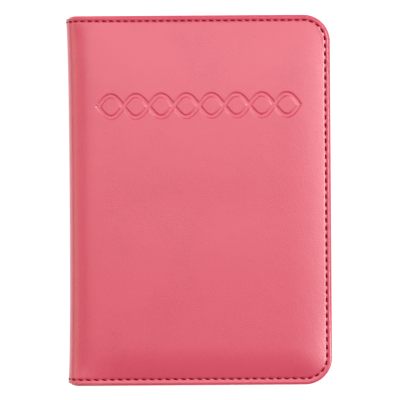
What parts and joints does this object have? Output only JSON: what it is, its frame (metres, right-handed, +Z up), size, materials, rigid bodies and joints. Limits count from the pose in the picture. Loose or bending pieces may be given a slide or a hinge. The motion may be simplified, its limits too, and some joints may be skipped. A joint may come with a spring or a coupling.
{
  "type": "passport holder",
  "caption": "Padded leather folder for a passport, with stitched covers that fold about a flat spine, document sleeves inside and stepped card pockets.",
  "frame": {"origin": "under the middle of the closed holder, on the surface it lies on", "axes": "+X from the spine to the fore-edge, +Y to the top edge, +Z up through the closed holder from the back cover to the front cover"},
  "size_m": [0.1, 0.14, 0.013],
  "materials": {
    "outer_leather": "semi-matt coral-pink coated leather, padded",
    "inner_leather": "semi-matt coral-pink coated leather, thin",
    "pink_lining": "woven lining",
    "crimson_thread": "twisted polyester thread",
    "grey_foam": "foam padding",
    "grey_board": "greyboard"
  },
  "bodies": {
    "back_cover": {"back_outer_leather": "outer_leather", "back_foam_padding": "grey_foam", "back_stiffener_board": "grey_board", "back_lining": "pink_lining", "back_sleeve_panel": "inner_leather", "back_edge_thread_outer": "crimson_thread", "back_edge_thread_inner": "crimson_thread", "back_sleeve_hem_thread": "crimson_thread"},
    "spine": {"spine_outer_leather": "outer_leather", "spine_reinforcement_strip": "grey_board", "spine_lining": "pink_lining", "spine_head_thread_outer": "crimson_thread", "spine_head_thread_inner": "crimson_thread", "spine_tail_thread_outer": "crimson_thread", "spine_tail_thread_inner": "crimson_thread"},
    "front_cover": {"front_outer_leather": "outer_leather", "front_foam_padding": "grey_foam", "front_stiffener_board": "grey_board", "front_lining": "pink_lining", "front_sleeve_panel": "inner_leather", "front_edge_thread_outer": "crimson_thread", "front_edge_thread_inner": "crimson_thread", "front_sleeve_hem_thread": "crimson_thread", "card_slot_top": "inner_leather", "card_slot_top_thread": "crimson_thread", "card_slot_middle": "inner_leather", "card_slot_middle_thread": "crimson_thread", "card_slot_bottom": "inner_leather", "card_slot_bottom_thread": "crimson_thread", "card_slot_edge_thread": "crimson_thread"}
  },
  "joints": [
    {"name": "back_fold", "type": "hinge", "parent": "back_cover", "child": "spine", "pos_m": [-0.0485, 0, 0.00246], "axis": [0, -1, 0], "range_deg": [0, 90]},
    {"name": "front_fold", "type": "hinge", "parent": "spine", "child": "front_cover", "pos_m": [-0.0485, 0, 0.01055], "axis": [0, -1, 0], "range_deg": [0, 90]}
  ]
}
